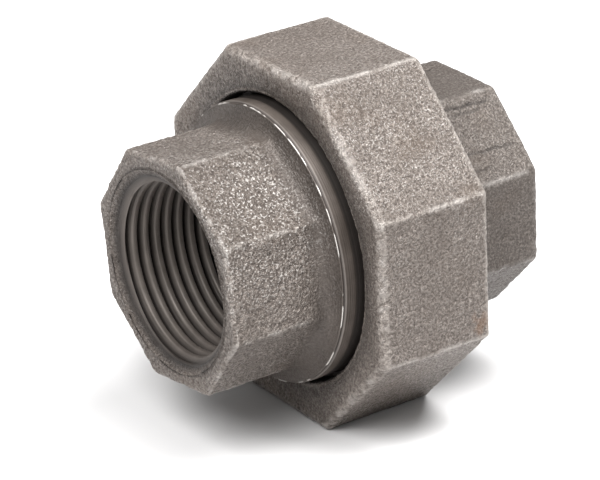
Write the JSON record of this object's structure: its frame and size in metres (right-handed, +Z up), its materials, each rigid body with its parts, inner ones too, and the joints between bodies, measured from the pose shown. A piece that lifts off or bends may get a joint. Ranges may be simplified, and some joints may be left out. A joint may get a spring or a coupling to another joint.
{
  "type": "pipe union",
  "caption": "Pipe union with octagonal ends and nut, a ground seat and female pipe thread at each end, screwed together.",
  "frame": {"origin": "on the pipe axis at the middle of the overall length, with the nut tight", "axes": "+X along the pipe axis towards the end with the male union thread, +Z up with the nut resting on one of its flats"},
  "size_m": [0.05, 0.05, 0.05],
  "materials": {
    "black_iron": "raw sandy casting, unplated, with turned bands and cut threads",
    "seat_bronze": "turned and ground"
  },
  "bodies": {
    "thread_side": {"thread_side_end": "black_iron", "seat_ring": "seat_bronze"},
    "nut_side": {"nut_side_end": "black_iron"},
    "nut": {"union_nut": "black_iron"}
  },
  "joints": [
    {"name": "nut_side_draw", "type": "slide", "parent": "thread_side", "child": "nut_side", "axis": [-1, 0, 0], "range_m": [0, 0.01001]},
    {"name": "nut_turn", "type": "hinge", "parent": "nut_side", "child": "nut", "pos_m": [0, 0, 0], "axis": [-1, 0, 0], "range_deg": [0, 1800]}
  ],
  "couplings": [
    {"joint": "nut_side_draw", "follows": "nut_turn", "m_per_rad": 0.00031831}
  ]
}
